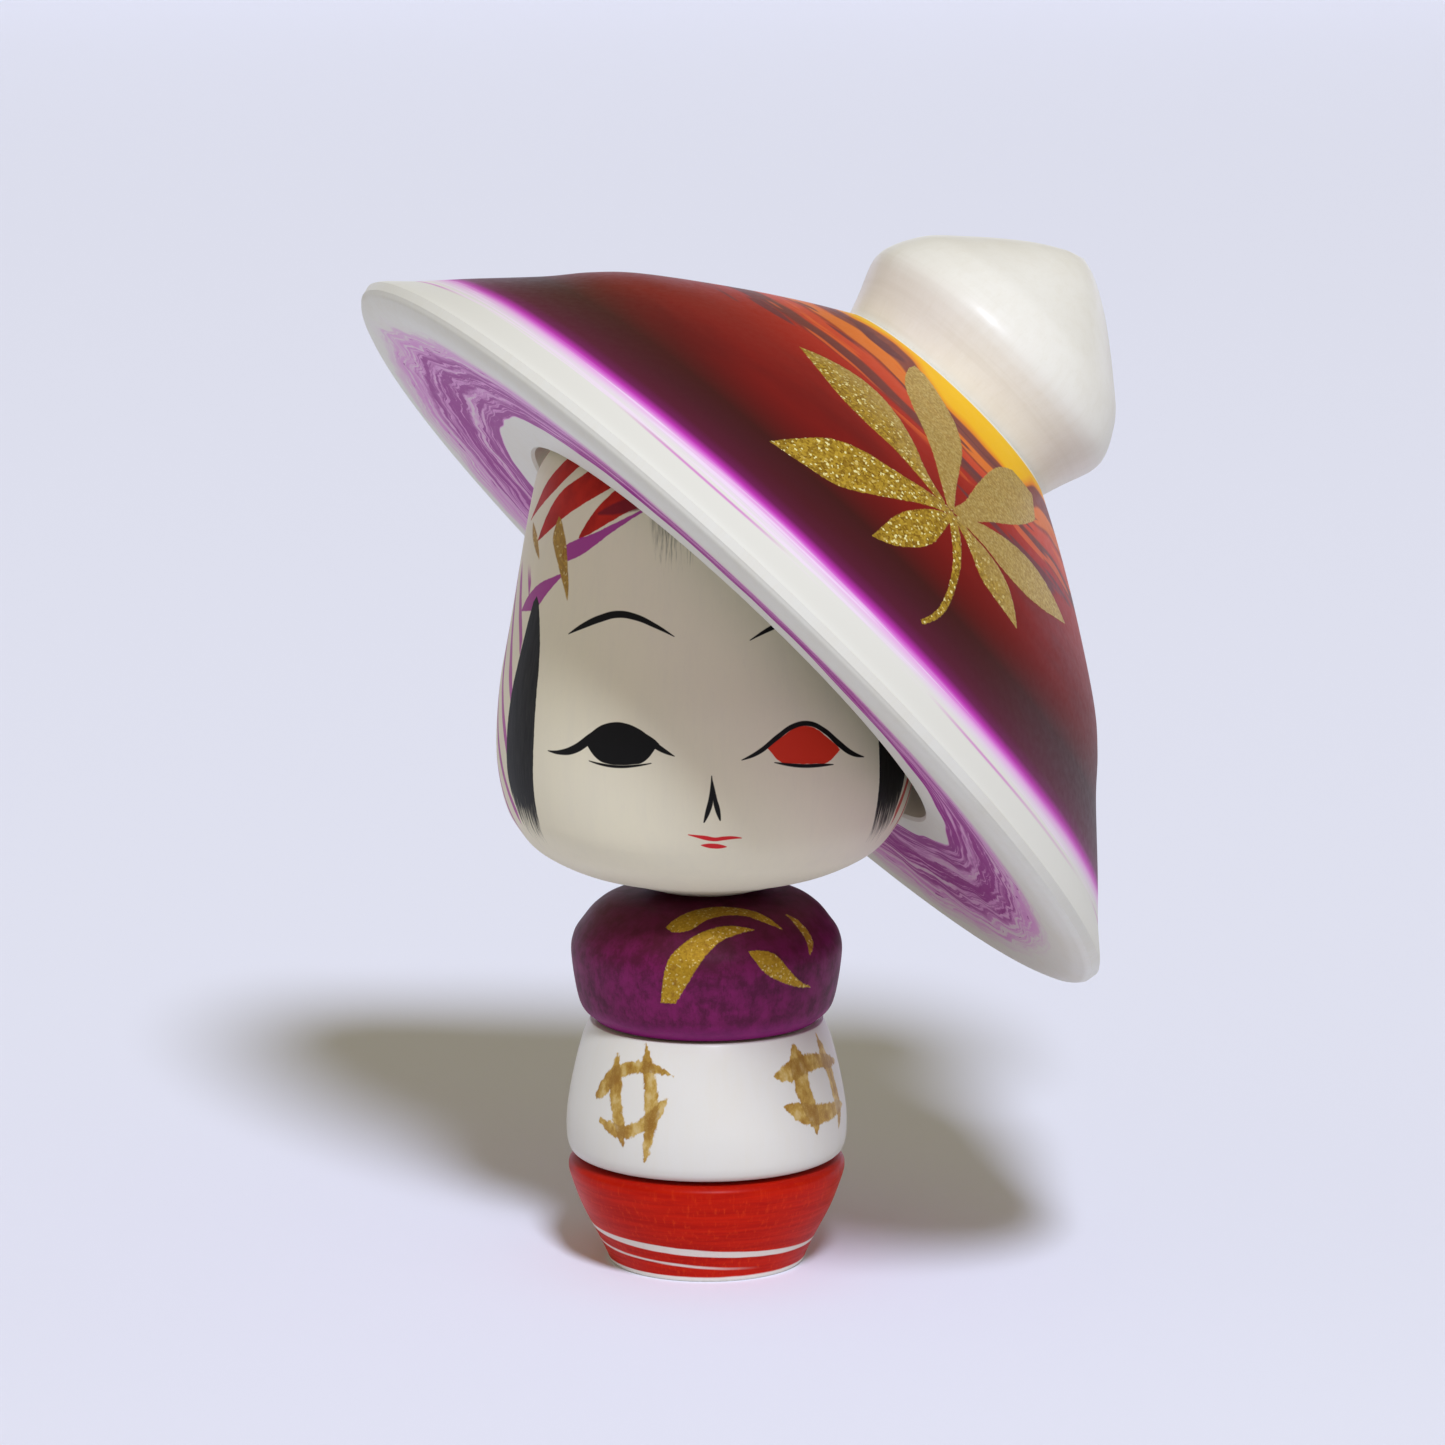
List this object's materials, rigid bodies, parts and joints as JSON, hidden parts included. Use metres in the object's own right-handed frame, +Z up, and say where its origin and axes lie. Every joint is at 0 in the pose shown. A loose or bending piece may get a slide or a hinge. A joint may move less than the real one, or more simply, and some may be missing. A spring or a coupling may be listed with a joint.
{
  "type": "kokeshi doll",
  "caption": "Turned wooden doll with a turning head, banded body and a wide tilted bell-shaped hat that turns and lifts off its peg.",
  "frame": {"origin": "centre of the foot, on the surface the doll stands on", "axes": "+Z up along the body's turning axis; the face looks along -Y; +X is the viewer's right, towards which the hat leans"},
  "size_m": [0.0756, 0.0962, 0.1029],
  "materials": {
    "red_lacquer": "waxed red dye with pale rings",
    "white_wood": "pale close-grained wood, satin wax",
    "purple_stain": "matt purple dye over wood",
    "plain_dowel": "bare wood",
    "face_wood": "pale wood, satin wax, painted face",
    "hat_stain": "layered red, purple and yellow dyes, waxed"
  },
  "bodies": {
    "body": {"skirt_base": "red_lacquer", "torso": "white_wood", "collar": "purple_stain", "core_dowel": "plain_dowel"},
    "head": {"head": "face_wood", "neck_plug": "plain_dowel"},
    "peg": {"hat_peg": "plain_dowel"},
    "hat": {"hat_brim": "hat_stain", "hat_crown": "white_wood"}
  },
  "joints": [
    {"name": "neck_turn", "type": "hinge", "parent": "body", "child": "head", "pos_m": [0, 0, 0.0386], "axis": [0, 0, 1], "continuous": true},
    {"name": "hat_turn", "type": "hinge", "parent": "head", "child": "peg", "pos_m": [0.00232, 0.00089, 0.06411], "axis": [0.6812, 0.2629, 0.6833], "continuous": true},
    {"name": "hat_lift", "type": "slide", "parent": "peg", "child": "hat", "axis": [0.6812, 0.2629, 0.6833], "range_m": [0, 0.045]}
  ]
}
